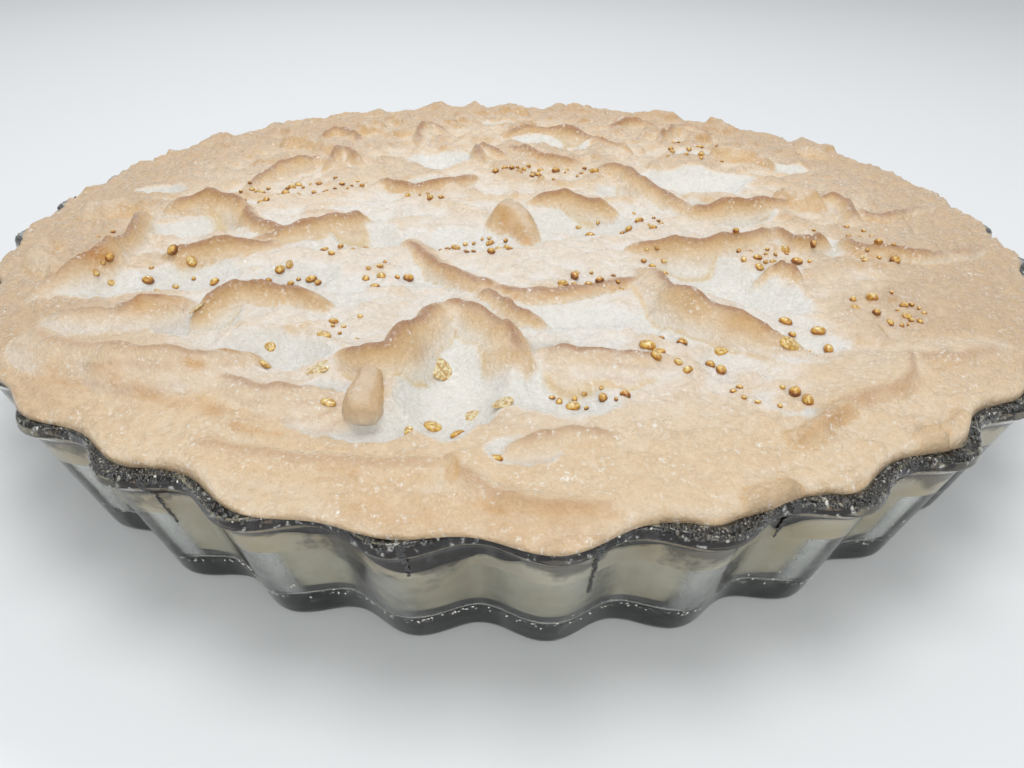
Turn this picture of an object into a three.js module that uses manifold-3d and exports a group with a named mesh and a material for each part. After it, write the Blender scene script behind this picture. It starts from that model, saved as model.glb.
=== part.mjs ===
// Carob meringue pie in its fluted glass flan dish, in millimetres, +Z up.
import * as THREE from "three";
import { mergeVertices } from "three/addons/utils/BufferGeometryUtils.js";
import Module from "manifold-3d";

// glass dish
const fluteCount = 33;
const fluteTurn = 0.0508;
const fluteDepthFoot = 2.24;
const fluteDepthRim = 2.47;
const pointsPerFlute = 6;
const footRadius = 125.0;
const heelRadius = 129.8;
const heelHeight = 3.0;
const wallTopRadius = 137.8;
const wallTopHeight = 28.8;
const lipRadius = 140.2;
const lipHeight = 32.2;
const rimOuter = 139.4;
const rimInner = 136.9;
const dishHeight = 34.0;
const innerTopRadius = 134.8;
const innerTopHeight = 31.0;
const innerLowRadius = 126.6;
const innerLowHeight = 9.4;
const floorRadius = 122.6;
const floorHeight = 6.0;

// pastry case and carob filling
const touchGap = 0.35;
const crustFloor = 4.0;
const crustEdgeMean = 28.7;
const crustEdgeSwing = 0.5;
const crustInnerHeight = 22.0;
const crustInnerTop = 126.3;
const crustInnerLow = 117.5;
const fillingTop = 30.0;
const plainSteps = 66;

// meringue
const rimLine = 32.5;
const meringueReach = 140.0;
const edgeHeight = 2.2;
const domeHeight = 6.6;
const domePowerFront = 6.0;
const domePowerFar = 2.5;
const edgeSwing = 1.3;
const edgeInset = 0.6;
const edgeFollow = 0.6;
const topRings = 28;
const blend = 0.3;
const sheetFoot = 5.0;
const sheetGain = 1.8;
const sheetNearer = 1.0;
const fullRun = 0.78;
const hollowRun = 0.52;
const crestRound = 0.8;
const hollowGain = 1.25;
const spreadDrop = 1.2;
const swirlHeight = 1.6;
const swirlLength = 27.0;
const swirlWidth = 22.0;
const rippleHeight = 0.9;
const rippleLength = 11.0;
const rippleWidth = 9.0;
const bumpHeight = 6.5;
const bumpLength = 13.0;
const bumpWidth = 10.0;
const calmFrom = 102.0;
const calmTo = 128.0;

// syrup beads
const beadCount = 26;
const beadLargest = 1.35;
const beadSmallest = 0.5;
const beadFlat = 0.62;

// where the edge of the pastry sank and the filling shows: turn and spread in degrees, depth
const crustDips = [
  [-7.5, 2.6, 5.0], [-3.8, 2.2, 4.6], [-0.4, 1.6, 3.6], [-14.5, 2.2, 2.6], [8.5, 2.2, 2.4],
  [20.8, 1.6, 4.2], [52, 4, 3.0], [98, 5, 3.5], [163, 6, 4.5], [-125, 5, 3.5], [-72, 4, 2.8], [-45, 3, 2.2],
];

// scooped hollows: across, away, half length, half width, heading in degrees, depth
const hollows = [
  [-85, -21, 15, 9, 8, 5.0], [-79, -56, 16, 8, 0, 3.5], [-51, -56, 11, 8, 0, 3.0],
  [-70, -75, 13, 9, 0, 5.0], [-50, -90, 14, 7, -15, 4.0], [-35, -110, 8, 8, 0, 4.5],
  [-12, -104, 11, 16, 0, 5.5], [1, -122, 6, 4, 0, 2.5],
  [-25, -114, 10, 6, 0, 4.2],
  [-108, 12, 8, 5, 0, 3.5], [-25, 41, 13, 10, 0, 4.0], [-28, 13, 8, 7, 0, 3.5], [-38, -31, 10, 9, 0, 4.0],
  [-13, -33, 13, 9, 0, 3.5], [-18, -57, 11, 8, 0, 2.0], [54, 20, 22, 13, 0, 4.5], [59, -10, 17, 9, 0, 4.5],
  [50, -54, 24, 11, -50, 5.0], [18, -18, 17, 12, 0, 5.0], [32, 10, 9, 6, 0, 3.5], [13, 64, 15, 10, 0, 4.0],
  [-4, 96, 11, 6, 0, 3.0], [91, 39, 9, 6, 0, 3.5], [77, -31, 10, 8, 0, 3.5], [12, -77, 20, 7, 0, 2.0],
  [9, -106, 12, 8, 0, 2.5], [59, -85, 12, 8, 0, 2.5], [47, 96, 9, 5, 0, 3.0], [62, 54, 10, 8, 0, 2.5],
  [-96, -59, 12, 7, 0, 2.0], [9, -90, 7, 4, 0, 3.0], [54, -104, 12, 5, 10, 1.5],
];

// spread sheets: start, bend and end of the crest, run of its front and of its far side, height, fullness
const sheets = [
  [[-101, -80], [-76, -104], [-57, -91], 10, 7, 3.0, 0.5],
  [[-101, -74], [-83, -81], [-76, -69], 9, 4, 2.5, 0.7],
  [[-68, -72], [-62, -63], [-42, -70], 13, 4, 2.5, 1.5],
  [[-86, -43], [-71, -43], [-60, -38], 14, 4, 2.5, 1.6],
  [[-103, -14], [-90, -52], [-110, -60], 9, 5, 3.0, 1.2],
  [[-98, -7], [-84, -5], [-77, -10], 12, 4, 2.5, 1.5],
  [[-79, -6], [-68, -31], [-57, -28], 8, 4, 1.0, 1.5],
  [[-67, -38], [-44, -21], [-42, -18], 14, 5, 2.0, 1.5],
  [[-80, 8], [-74, 35], [-64, 39], 16, 5, 1.5, 1.5],
  [[-60, 30], [-58, 56], [-49, 32], 14, 4, 2.2, 1.2],
  [[-72, 67], [-65, 100], [-56, 60], 9, 4, 1.3, 1.2],
  [[-35, 58], [-34, 100], [-25, 74], 12, 4, 1.8, 0.8],
  [[-41, 16], [-30, -1], [-13, 20], 10, 4, 1.5, 1.5],
  [[-12, 36], [-15, 66], [-3, 39], 8, 3, 1.8, 1.0],
  [[-34, -92], [-23, -102], [-15, -74], 7, 5, 3.2, 0.8],
  [[-15, -74], [-4, -75], [2, -95], 9, 6, 2.6, 0.7],
  [[-28, -34], [-14, -64], [-4, -63], 5, 9, 1.0, 0.7],
  [[-7, -63], [11, -71], [30, -55], 5, 9, 0.9, 0.7],
  [[-8, -67], [-3, -70], [6, -78], 6, 3, 1.2, 1.0],
  [[8, -91], [15, -94], [29, -92], 14, 4, 1.5, 0.7],
  [[32, -53], [32, -79], [56, -83], 12, 4, 3.0, 0.8],
  [[30, -40], [48, -40], [69, -24], 12, 4, 2.0, 1.3],
  [[70, -23], [70, -42], [81, -28], 9, 4, 2.0, 1.3],
  [[29, 30], [32, 24], [50, -8], 12, 4, 2.0, 1.2],
  [[50, -9], [60, -11], [81, 1], 9, 4, 1.8, 1.3],
  [[4, -4], [15, -1], [26, -7], 9, 4, 1.8, 1.3],
  [[-2, 54], [10, 32], [22, 35], 9, 4, 1.5, 1.3],
  [[-3, 71], [12, 93], [40, 53], 10, 4, 1.3, 1.4],
  [[51, 65], [69, 122], [75, 76], 14, 4, 1.2, 1.3],
  [[36, 86], [45, 106], [58, 97], 8, 4, 0.9, 1.3],
  [[90, 3], [98, 5], [94, -15], 8, 4, 2.0, 1.0],
  [[87, -28], [91, -47], [112, -34], 5, 5, 1.8, 0.8],
  [[100, -4], [96, -27], [128, 11], 7, 4, 1.2, 1.0],
  [[112, -34], [114, -37], [127, -23], 4, 4, 1.5, 0.8],
  [[62, -50], [67, -49], [68, -54], 7, 3, 1.5, 1.0],
  [[-58, -99], [-48, -109], [-38, -105], 14, 4, 1.2, 0.5],
  [[-59, -117], [-27, -127], [-12, -126], 9, 7, 0.7, 0.6],
  [[-11, -125], [-3, -136], [14, -132], 6, 9, 1.2, 0.6],
  [[0, -120], [5, -116], [18, -118], 9, 3, 0.9, 0.8],
  [[58, -105], [80, -100], [82, -88], 3, 24, 1.1, 0.6],
  [[83, -91], [90, -88], [102, -82], 3, 20, 1.0, 0.6],
];

// low lumps: start, bend and end of the spine, radius at start and end, height of the top at start and end
const lumps = [
  [[81, 1], [84, 2], [87, 0], 5.0, 5.5, 4.0, 3.6],
  [[-121, -10], [-117, -12], [-112, -10], 6.0, 6.0, 3.6, 3.6],
  [[-122, -33], [-123, -45], [-110, -51], 3.0, 3.4, 3.4, 2.8],
  [[-80, 58], [-72, 57], [-63, 46], 3.4, 3.4, 3.6, 3.4],
  [[40, -133], [42.5, -132.5], [45, -131.5], 3.0, 3.2, 3.2, 3.0],
  [[74, -114.5], [75, -114.5], [76, -114], 1.8, 2.0, 3.0, 3.0],
  [[79, -111], [81, -110], [84, -107], 2.2, 2.6, 2.4, 2.0],
  [[50, -117], [54, -114], [60, -108], 2.6, 3.0, 2.3, 2.5],
  [[-11, -126], [-11, -127], [-10, -129], 1.5, 1.6, 2.0, 1.5],
  [[-4, 112], [-2, 114], [2, 112], 3.0, 3.0, 3.0, 2.8],
  [[105, 62], [108, 61], [110, 58], 4.0, 4.0, 3.0, 2.8],
  [[72, 51], [77, 49], [83, 46], 5.0, 6.0, 3.2, 3.0],
];

// standing curls: start, bend and end of the spine above the rim line, radius at start, middle and end
const curls = [
  [[6.5, -27, 4.5], [5.4, -24, 16], [-4, -22, 11.2], [3.2, 3.8, 2.0]],
  [[-27, -94, 8.6], [-27.2, -102, 9.8], [-27.6, -112.5, 4.6], [0.9, 1.8, 5.4]],
];
const curlSides = 8;
const curlRings = 7;

// where the meringue runs out over the rim or stops short of it: turn and spread in degrees, reach
const edgeRuns = [
  [2, 6, 3.0], [17.8, 2.6, 2.2], [-14.5, 5.5, 2.4], [-47, 7, 2.4], [-27, 6, -1.2], [13, 4.5, -1.4],
  [26, 7, -1.6], [42, 4, -1.4], [-95, 14, -1.8],
];

// where the syrup beads gather: across, away, spread across, spread away, how many
const beadSpots = [
  [-108, -28, 3, 2, 2], [-98, -54, 2, 2, 3], [-80, -54, 7, 6, 8], [-52, -55, 5, 6, 9], [-43, -40, 4, 7, 6],
  [-30, -56, 4, 5, 6], [-10, -35, 8, 7, 14], [28, -18, 9, 8, 10], [16, -60, 8, 4, 9], [34, -92, 8, 5, 9],
  [14, -105, 6, 3, 6], [-35, -83, 4, 4, 5], [65, -41, 9, 6, 12], [61, -81, 4, 5, 5], [50, -105, 7, 3, 7],
  [84, -68, 6, 5, 12], [94, -40, 6, 4, 6], [61, 52, 9, 9, 9], [10, 26, 12, 5, 12], [-77, 1, 5, 7, 6],
  [-59, 9, 11, 6, 12], [-27, 0, 4, 4, 3], [35, -46, 3, 4, 4], [18, 68, 15, 7, 4], [89, -24, 6, 3, 4],
];

const steps = fluteCount * pointsPerFlute;

function mix(a, b, t) {
  return a + (b - a) * t;
}

function ease(t) {
  const c = Math.min(1, Math.max(0, t));
  return c * c * (3 - 2 * c);
}

// repeatable scatter between 0 and 1
function scatter(k) {
  const v = Math.sin(k * 12.9898 + 4.1) * 43758.5453;
  return v - Math.floor(v);
}

// smooth random hills and dips, one for each unit square, between about -0.7 and 0.7
function unevenness(x, y) {
  const i = Math.floor(x);
  const j = Math.floor(y);
  const u = x - i;
  const v = y - j;
  const corner = (a, b) => {
    const turn = scatter((i + a) * 7.13 + (j + b) * 31.7) * Math.PI * 2;
    return Math.cos(turn) * (u - a) + Math.sin(turn) * (v - b);
  };
  const low = mix(corner(0, 0), corner(1, 0), ease(u));
  const high = mix(corner(0, 1), corner(1, 1), ease(u));
  return mix(low, high, ease(v));
}

function softMax(a, b, width) {
  const h = Math.max(0, width - Math.abs(a - b)) / width;
  return Math.max(a, b) + (h * h * width) / 4;
}

// angles run from the front of the dish, anticlockwise seen from above
function fluteWave(turn) {
  return Math.cos(fluteCount * (turn - fluteTurn));
}

function rimSwing(turn) {
  return fluteDepthRim * fluteWave(turn);
}

function flutedPoint(turn, radius, height) {
  const swing = mix(fluteDepthFoot, fluteDepthRim, height / dishHeight);
  return plainPoint(turn, radius + swing * fluteWave(turn), height);
}

function plainPoint(turn, radius, height) {
  return [radius * Math.sin(turn), -radius * Math.cos(turn), height];
}

function ring(count, place) {
  const points = [];
  for (let k = 0; k < count; k += 1) {
    points.push(place(fluteTurn + (k / count) * Math.PI * 2));
  }
  return points;
}

// closed body from rings that run from the centre of its underside to the centre of its top
function bodyFromRings(underside, rings, top) {
  const position = [...underside];
  const starts = [];
  for (const points of rings) {
    starts.push(position.length / 3);
    position.push(...points.flat());
  }
  const last = position.length / 3;
  position.push(...top);
  const index = [];
  const first = rings[0].length;
  for (let k = 0; k < first; k += 1) {
    index.push(0, starts[0] + ((k + 1) % first), starts[0] + k);
  }
  for (let m = 0; m + 1 < rings.length; m += 1) {
    stitch(index, starts[m], rings[m].length, starts[m + 1], rings[m + 1].length);
  }
  const tail = rings[rings.length - 1].length;
  const tailStart = starts[starts.length - 1];
  for (let k = 0; k < tail; k += 1) {
    index.push(last, tailStart + k, tailStart + ((k + 1) % tail));
  }
  const geometry = new THREE.BufferGeometry();
  geometry.setAttribute("position", new THREE.Float32BufferAttribute(position, 3));
  geometry.setIndex(index);
  return geometry;
}

// band of triangles between two rings of any two counts, split alike whichever ring comes first
function stitch(index, startA, countA, startB, countB) {
  let a = 0;
  let b = 0;
  while (a < countA || b < countB) {
    const nextA = (a + 1) / countA;
    const nextB = (b + 1) / countB;
    const level = nextA === nextB && countA >= countB;
    if (b >= countB || (a < countA && (nextA < nextB || level))) {
      index.push(startA + (a % countA), startA + ((a + 1) % countA), startB + (b % countB));
      a += 1;
    } else {
      index.push(startA + (a % countA), startB + ((b + 1) % countB), startB + (b % countB));
      b += 1;
    }
  }
}

function innerWall(height) {
  const t = (height - innerLowHeight) / (innerTopHeight - innerLowHeight);
  return mix(innerLowRadius, innerTopRadius, t);
}

// how near a turn is to a place on the rim given in degrees, 1 there and falling to 0
function nearTurn(turn, centre, spread) {
  const gap = turn - (centre * Math.PI) / 180;
  const away = Math.atan2(Math.sin(gap), Math.cos(gap));
  return Math.exp(-((away / ((spread * Math.PI) / 180)) ** 2));
}

// upper edge of the pastry, lower where the filling shows
function crustEdge(turn) {
  const wave = Math.sin(5 * turn + 0.6) + 0.7 * Math.sin(9 * turn + 2.1) + 0.5 * Math.sin(17 * turn);
  let edge = crustEdgeMean + (crustEdgeSwing * wave) / 2.2;
  for (const [centre, spread, depth] of crustDips) {
    edge -= depth * nearTurn(turn, centre, spread);
  }
  return edge;
}

function makeDish() {
  const profile = [
    [footRadius, 0],
    [heelRadius, heelHeight],
    [wallTopRadius, wallTopHeight],
    [lipRadius, lipHeight],
    [rimOuter, dishHeight],
    [rimInner, dishHeight],
    [innerTopRadius, innerTopHeight],
    [innerLowRadius, innerLowHeight],
    [floorRadius, floorHeight],
  ];
  const rings = profile.map(([radius, height]) => ring(steps, (turn) => flutedPoint(turn, radius, height)));
  return bodyFromRings([0, 0, 0], rings, [0, 0, floorHeight]);
}

function makeCrust() {
  const low = floorHeight + touchGap;
  const floorTop = low + crustFloor;
  const edgeOut = (turn) => flutedPoint(turn, innerWall(crustEdge(turn)) - touchGap, crustEdge(turn));
  const rings = [
    ring(steps, (turn) => flutedPoint(turn, floorRadius - touchGap, low)),
    ring(steps, (turn) => flutedPoint(turn, innerLowRadius - touchGap, innerLowHeight + touchGap / 2)),
    ring(steps, edgeOut),
    ring(plainSteps, (turn) => plainPoint(turn, crustInnerTop, crustInnerHeight)),
    ring(plainSteps, (turn) => plainPoint(turn, crustInnerLow, floorTop)),
  ];
  return bodyFromRings([0, 0, low], rings, [0, 0, floorTop]);
}

function makeFilling() {
  const low = floorHeight + crustFloor + touchGap * 2;
  const lap = touchGap * 1.4;
  const ledge = (turn) => plainPoint(turn, crustInnerTop - touchGap * 1.2, crustInnerHeight + lap);
  const lapOut = (turn) => {
    const height = crustEdge(turn) + lap;
    return flutedPoint(turn, innerWall(height) - touchGap, height);
  };
  const rings = [
    ring(plainSteps, (turn) => plainPoint(turn, crustInnerLow - touchGap * 1.6, low)),
    ring(plainSteps, ledge),
    ring(steps, lapOut),
    ring(steps, (turn) => flutedPoint(turn, innerWall(fillingTop) - touchGap, fillingTop)),
  ];
  return bodyFromRings([0, 0, low], rings, [0, 0, fillingTop]);
}

// squared distance from an oval's middle, 1 on its outline
function oval(x, y, [across, away, length, width, heading]) {
  const turn = (heading * Math.PI) / 180;
  const dx = x - across;
  const dy = y - away;
  const along = (dx * Math.cos(turn) + dy * Math.sin(turn)) / length;
  const aside = (dy * Math.cos(turn) - dx * Math.sin(turn)) / width;
  return along * along + aside * aside;
}

function bentPoint(start, bend, end, t) {
  return start.map((from, k) => (1 - t) ** 2 * from + 2 * t * (1 - t) * bend[k] + t * t * end[k]);
}

// nearest place on a bent crest: distance to it, side of it and share of the way along it
function alongCrest(x, y, start, bend, end, pieces = 14) {
  let nearest = { away: Infinity, side: 0, along: 0 };
  for (let k = 0; k < pieces; k += 1) {
    const [ax, ay] = bentPoint(start, bend, end, k / pieces);
    const [cx, cy] = bentPoint(start, bend, end, (k + 1) / pieces);
    const bx = cx - ax;
    const by = cy - ay;
    const at = Math.min(1, Math.max(0, ((x - ax) * bx + (y - ay) * by) / (bx * bx + by * by)));
    const dx = x - ax - at * bx;
    const dy = y - ay - at * by;
    const away = Math.hypot(dx, dy);
    if (away < nearest.away) {
      nearest = { away, side: Math.sign(bx * dy - by * dx), along: (k + at) / pieces };
    }
  }
  return nearest;
}

// height of a spread sheet above the mean level: full at the rounded crest, thinning to its foot in front
function sheetHeight(x, y, [start, bend, end, front, far, height, fullness], number) {
  const { away, side, along } = alongCrest(x, y + sheetNearer * height, start, bend, end);
  const out = Math.hypot(away, crestRound) - crestRound;
  const run = front * (fullness > 1 ? hollowRun : fullRun);
  const taper = Math.min(1, 4 * along * (1 - along) + 0.1) ** 0.4;
  const tall = sheetGain * height * taper * (1 + 0.5 * unevenness(along * 5 + 9 * number, 0.5));
  if (side < 0) {
    const slope = (tall + sheetFoot) * Math.max(0, 1 - out / run) ** fullness;
    return slope - sheetFoot - 2 * Math.max(0, out - run);
  }
  return tall - (tall + sheetFoot) * (out / far) ** 1.2;
}

function lumpHeight(x, y, [start, bend, end, startRadius, endRadius, startTop, endTop]) {
  const { away, along } = alongCrest(x, y, start, bend, end, 6);
  const round = mix(startRadius, endRadius, along);
  const inside = Math.min(away, round);
  return mix(startTop, endTop, along) - (0.9 * inside * inside) / round - 1.8 * (away - inside);
}

function meringueTop(x, y) {
  const radius = Math.hypot(x, y);
  const share = Math.min(1, radius / meringueReach);
  const power = mix(domePowerFar, domePowerFront, ease(0.5 - y / 200));
  const base = edgeHeight + domeHeight * (1 - share ** power);
  const calm = 1 - 0.85 * ease((radius - calmFrom) / (calmTo - calmFrom));
  const px = x + 2.8 * unevenness(x / 23, y / 23) + 1.5 * unevenness(x / 8, y / 8 + 30);
  const py = y + 2.8 * unevenness(x / 23 + 40, y / 23) + 1.5 * unevenness(x / 8 + 60, y / 8);
  const swirl = Math.min(1, 2.6 * Math.abs(unevenness(px / swirlLength, py / swirlWidth + 9)));
  const ripple = Math.min(1, 2.6 * Math.abs(unevenness(px / rippleLength + 5, py / rippleWidth)));
  const crests = swirlHeight * ((1 - swirl) ** 1.4 - 0.4) + rippleHeight * (1 - ripple);
  let lift = base + calm * (crests - spreadDrop);
  for (const hollow of hollows) {
    const floor = base - hollowGain * hollow[5] * (1 - oval(px, py, hollow));
    lift = -softMax(-lift, -floor, 2 * blend);
  }
  sheets.forEach((sheet, number) => {
    lift = softMax(lift, base + sheetHeight(px, py, sheet, number), blend);
  });
  for (const lump of lumps) {
    lift = softMax(lift, base + lumpHeight(px, py, lump), blend);
  }
  const bumps = Math.max(0, unevenness(px / bumpLength + 3, py / bumpWidth));
  lift += bumpHeight * ease((y - 10) / 80) * bumps;
  return rimLine + Math.max(lift, edgeHeight);
}

// how far out over the rim the meringue has spread
function meringueEdge(turn) {
  const wave = Math.sin(3 * turn + 1.2) + 0.8 * Math.sin(7 * turn + 0.4) + 0.6 * Math.sin(13 * turn + 2.0);
  let edge = rimOuter - edgeInset + (edgeSwing * wave) / 2.4;
  for (const [centre, spread, reach] of edgeRuns) {
    edge = mix(edge, rimOuter - edgeInset + reach, nearTurn(turn, centre, spread));
  }
  return edge;
}

function makeMeringue() {
  const low = fillingTop + touchGap;
  const over = dishHeight + touchGap;
  const rings = [
    ring(steps, (turn) => flutedPoint(turn, innerWall(low) - touchGap * 1.1, low)),
    ring(steps, (turn) => flutedPoint(turn, rimInner - touchGap * 1.4, over)),
    ring(steps, (turn) => plainPoint(turn, meringueEdge(turn) + edgeFollow * rimSwing(turn), over)),
  ];
  for (let k = topRings; k > 0; k -= 1) {
    const share = k / topRings;
    const count = k === topRings ? steps : 6 * k;
    rings.push(ring(count, (turn) => {
      const swing = edgeFollow * rimSwing(turn) * share ** 9;
      const [x, y] = plainPoint(turn, (meringueEdge(turn) - 0.5) * share + swing, 0);
      return [x, y, meringueTop(x, y)];
    }));
  }
  return bodyFromRings([0, 0, low], rings, [0, 0, meringueTop(0, 0)]);
}

// round-ended body swept along a bent spine
function makeCurl([start, bend, end, radii]) {
  const spine = [start, bend, end].map((place) => new THREE.Vector3(...place).setZ(place[2] + rimLine));
  const path = new THREE.QuadraticBezierCurve3(...spine);
  const across = spine[1].clone().sub(spine[0]).cross(spine[2].clone().sub(spine[0])).normalize();
  const rings = [];
  for (let k = 0; k < curlRings; k += 1) {
    const along = (k + 0.6) / (curlRings + 0.2);
    const radius = mix(mix(radii[0], radii[1], along), mix(radii[1], radii[2], along), along);
    const rounded = radius * Math.sqrt(1 - Math.abs(2 * along - 1) ** 4);
    const aside = path.getTangent(along).cross(across);
    const points = [];
    for (let j = 0; j < curlSides; j += 1) {
      const turn = (j / curlSides) * Math.PI * 2;
      const point = path.getPoint(along).addScaledVector(across, rounded * Math.cos(turn));
      points.push(point.addScaledVector(aside, rounded * Math.sin(turn)).toArray());
    }
    rings.push(points);
  }
  return bodyFromRings(spine[0].toArray(), rings, spine[2].toArray());
}

// beads of syrup, the largest first
function makeBeads() {
  const beads = [];
  beadSpots.forEach(([across, away, spreadAcross, spreadAway, count], spot) => {
    for (let k = spot * 40; k < spot * 40 + count; k += 1) {
      const turn = scatter(k + 500) * Math.PI * 2;
      const reach = 1.4 * Math.sqrt(scatter(k + 600));
      const x = across + spreadAcross * reach * Math.cos(turn);
      const y = away + spreadAway * reach * Math.sin(turn);
      const size = mix(beadSmallest, beadLargest, scatter(k + 700) ** 2.2);
      if (beads.every((other) => Math.hypot(x - other.x, y - other.y) > size + other.size + 0.2)) {
        beads.push({ x, y, size });
      }
    }
  });
  return beads.sort((a, b) => b.size - a.size);
}

function addCurlsAndBeads(geometry, wasm) {
  let solid = toSolid(geometry, wasm);
  for (const curl of curls) {
    solid = solid.add(toSolid(makeCurl(curl), wasm));
  }
  const surface = new THREE.Mesh(geometry, new THREE.MeshBasicMaterial({ side: THREE.DoubleSide }));
  const down = new THREE.Vector3(0, 0, -1);
  for (const bead of makeBeads().slice(0, beadCount)) {
    const plumb = new THREE.Raycaster(new THREE.Vector3(bead.x, bead.y, 100), down);
    const drop = new THREE.IcosahedronGeometry(bead.size, 0);
    drop.scale(1, 1, beadFlat);
    drop.translate(bead.x, bead.y, plumb.intersectObject(surface)[0].point.z + bead.size * 0.1);
    solid = solid.add(toSolid(drop, wasm));
  }
  const mesh = solid.getMesh();
  const joined = new THREE.BufferGeometry();
  joined.setAttribute("position", new THREE.Float32BufferAttribute(mesh.vertProperties, mesh.numProp));
  joined.setIndex(Array.from(mesh.triVerts));
  return joined;
}

function toSolid(geometry, wasm) {
  const plain = geometry.clone();
  plain.deleteAttribute("normal");
  plain.deleteAttribute("uv");
  const welded = mergeVertices(plain, 1e-4);
  return new wasm.Manifold(new wasm.Mesh({
    numProp: 3,
    vertProperties: new Float32Array(welded.attributes.position.array),
    triVerts: new Uint32Array(welded.index.array),
  }));
}

function piece(name, geometry, look) {
  geometry.computeVertexNormals();
  const mesh = new THREE.Mesh(geometry, new THREE.MeshStandardMaterial(look));
  mesh.name = name;
  return mesh;
}

const wasm = await Module();
wasm.setup();

const pie = new THREE.Group();
pie.name = "carob_meringue_pie";
pie.add(piece("dish", makeDish(), { color: 0xb9c0bf, roughness: 0.08, transparent: true, opacity: 0.4 }));
pie.add(piece("crust", makeCrust(), { color: 0xb9ac90, roughness: 0.8 }));
pie.add(piece("filling", makeFilling(), { color: 0x2a1e18, roughness: 0.45 }));
pie.add(piece("meringue", addCurlsAndBeads(makeMeringue(), wasm), { color: 0xe3c08f, roughness: 0.55 }));

export default pie;
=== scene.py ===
import math
from functools import partial

import bpy
import numpy as np
from mathutils import Matrix, Vector


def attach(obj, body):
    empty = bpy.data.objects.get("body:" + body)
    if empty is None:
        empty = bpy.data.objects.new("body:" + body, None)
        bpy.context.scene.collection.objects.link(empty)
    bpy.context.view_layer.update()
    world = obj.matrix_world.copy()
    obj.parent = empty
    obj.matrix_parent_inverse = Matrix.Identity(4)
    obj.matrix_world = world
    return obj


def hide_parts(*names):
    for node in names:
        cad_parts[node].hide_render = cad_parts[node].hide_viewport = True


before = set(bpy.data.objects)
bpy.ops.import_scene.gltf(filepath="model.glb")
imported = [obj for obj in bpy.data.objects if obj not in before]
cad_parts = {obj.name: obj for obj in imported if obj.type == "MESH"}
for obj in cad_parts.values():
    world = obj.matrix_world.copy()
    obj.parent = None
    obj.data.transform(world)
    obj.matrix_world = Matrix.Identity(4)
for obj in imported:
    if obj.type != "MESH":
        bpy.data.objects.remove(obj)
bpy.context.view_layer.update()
print("frame loaded:", sorted(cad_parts))

mm = 0.001


# shared helpers

def hexToLinear(text):
    srgb = [int(text[k:k + 2], 16) / 255 for k in (1, 3, 5)]
    return [c / 12.92 if c <= 0.04045 else ((c + 0.055) / 1.055) ** 2.4 for c in srgb] + [1.0]


def mix(a, b, t):
    return a + (b - a) * t


def ease(t):
    c = np.clip(t, 0, 1)
    return c * c * (3 - 2 * c)


# 0 up to low, 1 from high on, eased between them
def rise(value, low, high):
    return ease((value - low) / (high - low))


# repeatable scatter between 0 and 1, the same draw for the same number
def scatter(k):
    v = np.sin(k * 12.9898 + 4.1) * 43758.5453
    return v - np.floor(v)


# smooth random hills and dips, one for each unit square, between about -0.7 and 0.7
def unevenness(x, y):
    i, j = np.floor(x), np.floor(y)
    u, v = x - i, y - j
    s, t = ease(u), ease(v)

    def corner(a, b):
        turn = scatter((i + a) * 7.13 + (j + b) * 31.7) * math.tau
        return np.cos(turn) * (u - a) + np.sin(turn) * (v - b)

    return mix(mix(corner(0, 0), corner(1, 0), s), mix(corner(0, 1), corner(1, 1), s), t)


def softMax(a, b, blend):
    h = np.maximum(0, blend - np.abs(a - b)) / blend
    return np.maximum(a, b) + h * h * blend / 4


def softMin(a, b, blend):
    return -softMax(-a, -b, blend)


def addPiece(name, points, faces, material, replaced=None):
    mesh = bpy.data.meshes.new(name)
    mesh.from_pydata((np.asarray(points) * mm).tolist(), [], faces)
    mesh.update()
    mesh.shade_smooth()
    mesh.materials.append(material)
    piece = bpy.data.objects.new(name, mesh)
    bpy.context.scene.collection.objects.link(piece)
    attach(piece, "root")
    if replaced:
        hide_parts(replaced)
    print(name, len(mesh.vertices), "points,", len(mesh.polygons), "faces")
    return piece


# one value for each point of a piece, read by its material
def addPointValue(piece, name, values):
    layer = piece.data.attributes.new(name, "FLOAT", "POINT")
    layer.data.foreach_set("value", np.asarray(values, np.float32))


# joins a small body to the points and faces of a piece
def addBody(points, faces, bodyPoints, bodyFaces):
    faces.extend((len(points) + bodyFaces).tolist())
    points.extend(bodyPoints)


# faces between rings of points, each ring with the same number of sides
def tubeFaces(rings, sides):
    here = np.arange(rings * sides)
    after = here // sides * sides + (here + 1) % sides
    return np.stack([here, after, after + sides, here + sides], 1)


# sets a node's sockets, text being a colour, and links its inputs, a node standing for its first output
def fillSockets(node, values=None, links=None):
    for key, value in (values or {}).items():
        node.inputs[key].default_value = hexToLinear(value) if isinstance(value, str) else value
    for key, source in (links or {}).items():
        node.id_data.links.new(getattr(source, "outputs", [source])[0], node.inputs[key])


# adds one node with its sockets, links, colour stops and fields
def addNode(tree, kind, values=None, links=None, stops=(), **fields):
    node = tree.nodes.new("ShaderNode" + kind)
    for key, value in fields.items():
        setattr(node, key, value)
    fillSockets(node, values, links)
    for place, colour in stops[1:-1]:
        node.color_ramp.elements.new(place).color = hexToLinear(colour)
    for end in (0, -1) if stops else ():
        stop = node.color_ramp.elements[end]
        stop.position, stop.color = stops[end][0], hexToLinear(stops[end][1])
    return node


# a material, what adds nodes to it, and its shader
def newMaterial(name):
    material = bpy.data.materials.new(name)
    material.use_nodes = True
    nodes = material.node_tree.nodes
    return material, partial(addNode, material.node_tree), nodes["Principled BSDF"]


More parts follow.
